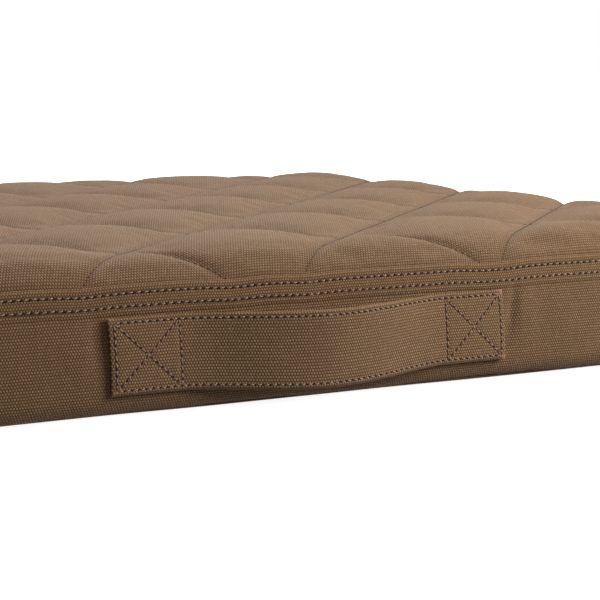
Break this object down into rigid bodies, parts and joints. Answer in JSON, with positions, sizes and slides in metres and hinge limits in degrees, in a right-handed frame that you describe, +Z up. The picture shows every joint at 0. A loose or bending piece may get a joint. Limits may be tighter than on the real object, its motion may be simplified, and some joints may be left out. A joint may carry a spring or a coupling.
{
  "type": "pet cushion bed",
  "caption": "Box-shaped pet bed cushion in brown duck canvas with a quilted top, double topstitched seam, sewn carry handle and a zipped back side.",
  "frame": {"origin": "centre of the underside, on the surface that the bed lies on", "axes": "+X runs along the front side from left to right, +Y from the front side with the handle to the back side with the zip, +Z up"},
  "size_m": [0.686, 0.5832, 0.0809],
  "materials": {
    "canvas": "matt plain-woven cotton duck, dusty brown",
    "strap_canvas": "matt plain-woven cotton duck, a little lighter on its folds",
    "thread": "twisted tan sewing thread, slight sheen",
    "lining": "plain light lining cloth",
    "wadding": "soft white polyester fibre",
    "zip_tape": "woven brown zip tape",
    "zip_teeth": "brown nylon coil",
    "zip_metal": "dull antique bronze"
  },
  "bodies": {
    "cushion": {"top_face": "canvas", "quilt_batting": "wadding", "quilt_backing": "lining", "quilting_thread": "thread", "front_boxing": "canvas", "left_boxing": "canvas", "right_boxing": "canvas", "back_boxing_upper": "canvas", "back_boxing_lower": "canvas", "back_boxing_left_end": "canvas", "back_boxing_right_end": "canvas", "bottom_panel": "canvas", "top_seam_thread_upper": "thread", "top_seam_thread_lower": "thread", "handle_end_left": "strap_canvas", "handle_end_right": "strap_canvas", "handle_patch_left": "lining", "handle_patch_right": "lining", "handle_thread_left": "thread", "handle_thread_right": "thread", "zip_tape_upper": "zip_tape", "zip_tape_lower": "zip_tape", "zip_coil_upper": "zip_teeth", "zip_coil_lower": "zip_teeth", "zip_thread": "thread", "zip_stops": "zip_metal", "insert_liner": "lining", "insert_fill": "wadding"},
    "handle": {"handle_grip": "strap_canvas", "handle_grip_thread": "thread"},
    "zip_slider": {"zip_slider": "zip_metal"},
    "zip_pull": {"zip_pull": "zip_metal"}
  },
  "joints": [
    {"name": "handle_pull", "type": "slide", "parent": "cushion", "child": "handle", "axis": [0, -1, 0], "range_m": [0, 0.01]},
    {"name": "zip_slide", "type": "slide", "parent": "cushion", "child": "zip_slider", "axis": [1, 0, 0], "range_m": [0, 0.509]},
    {"name": "pull_tab", "type": "hinge", "parent": "zip_slider", "child": "zip_pull", "pos_m": [-0.2545, 0.28351, 0.03], "axis": [0, 0, 1], "range_deg": [0, 180]}
  ]
}
